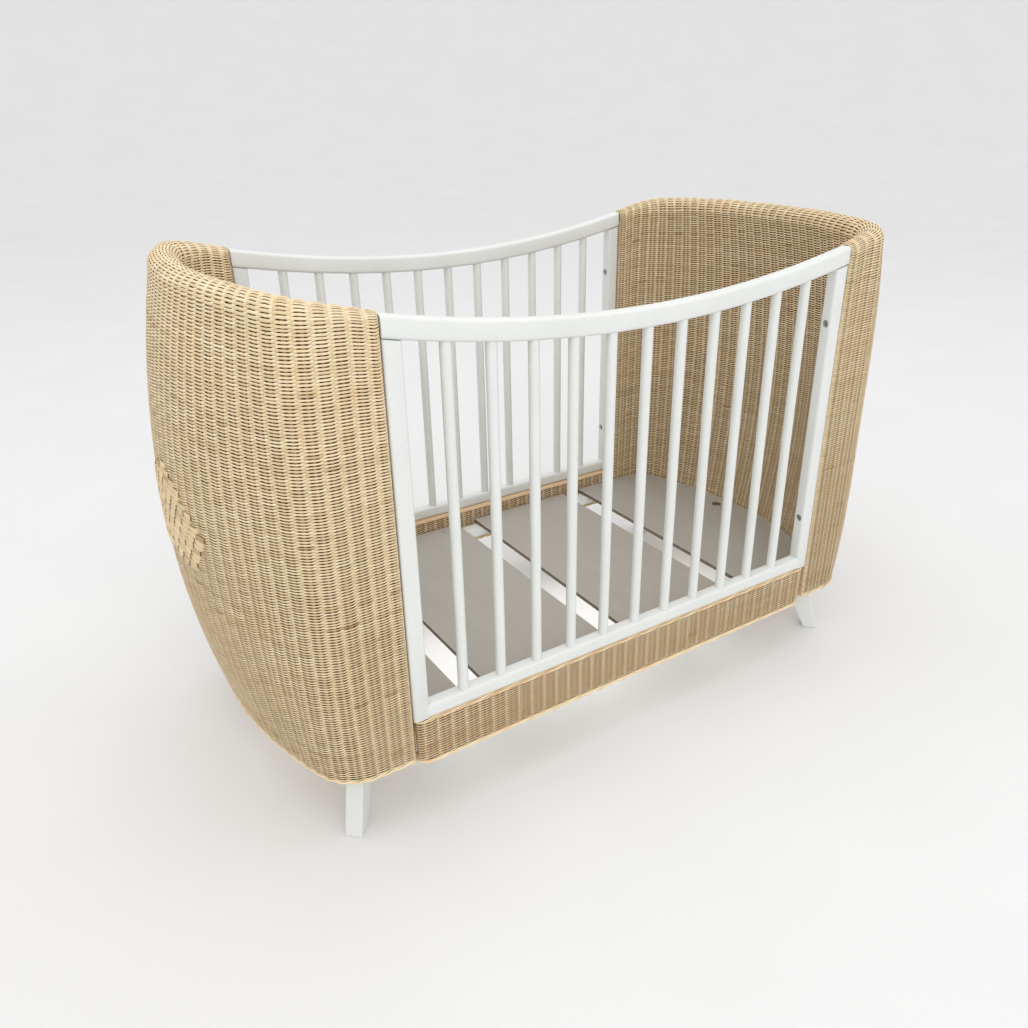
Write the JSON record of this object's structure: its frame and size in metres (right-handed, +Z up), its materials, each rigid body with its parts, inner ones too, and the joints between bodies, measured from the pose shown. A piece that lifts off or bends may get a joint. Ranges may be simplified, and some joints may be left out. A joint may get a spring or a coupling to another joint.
{
  "type": "baby crib",
  "caption": "Baby crib with bowed woven rattan ends, white slatted sides under a sagging top rail, a boarded base that sets at different heights, and splayed legs.",
  "frame": {"origin": "on the floor, midway between the two ends and the two sides", "axes": "+X along the crib, +Y to its rear side, +Z up"},
  "size_m": [1.3814, 0.677, 0.876],
  "materials": {
    "white_paint": "satin white lacquer over wood",
    "rattan": "natural matt woven rattan core",
    "base_board": "matt greige faced board",
    "bare_timber": "sawn softwood, unpainted",
    "zinc": "zinc plated"
  },
  "bodies": {
    "crib_frame": {"top_rail_front": "white_paint", "top_rail_rear": "white_paint", "bottom_rail_front": "white_paint", "bottom_rail_rear": "white_paint", "post_front_left": "white_paint", "post_front_right": "white_paint", "post_rear_left": "white_paint", "post_rear_right": "white_paint", "spindle_front_01": "white_paint", "spindle_front_02": "white_paint", "spindle_front_03": "white_paint", "spindle_front_04": "white_paint", "spindle_front_05": "white_paint", "spindle_front_06": "white_paint", "spindle_front_07": "white_paint", "spindle_front_08": "white_paint", "spindle_front_09": "white_paint", "spindle_front_10": "white_paint", "spindle_front_11": "white_paint", "spindle_rear_01": "white_paint", "spindle_rear_02": "white_paint", "spindle_rear_03": "white_paint", "spindle_rear_04": "white_paint", "spindle_rear_05": "white_paint", "spindle_rear_06": "white_paint", "spindle_rear_07": "white_paint", "spindle_rear_08": "white_paint", "spindle_rear_09": "white_paint", "spindle_rear_10": "white_paint", "spindle_rear_11": "white_paint", "leg_front_left": "white_paint", "leg_front_right": "white_paint", "leg_rear_left": "white_paint", "leg_rear_right": "white_paint", "bolt_front_left_lower": "zinc", "bolt_front_left_upper": "zinc", "bolt_front_right_lower": "zinc", "bolt_front_right_upper": "zinc", "bolt_rear_left_lower": "zinc", "bolt_rear_left_upper": "zinc", "bolt_rear_right_lower": "zinc", "bolt_rear_right_upper": "zinc", "leg_bolt_front_left": "zinc", "leg_bolt_front_right": "zinc", "leg_bolt_rear_left": "zinc", "leg_bolt_rear_right": "zinc", "end_shell_left": "rattan", "end_shell_right": "rattan", "apron_front": "rattan", "apron_rear": "rattan", "leg_beam_left": "bare_timber", "leg_beam_right": "bare_timber"},
    "base": {"base_board_1": "base_board", "base_board_2": "base_board", "base_board_3": "base_board", "base_board_4": "base_board", "base_batten_front": "white_paint", "base_batten_rear": "white_paint"}
  },
  "joints": [
    {"name": "base_height", "type": "slide", "parent": "crib_frame", "child": "base", "axis": [0, 0, 1], "range_m": [0, 0.24]}
  ]
}
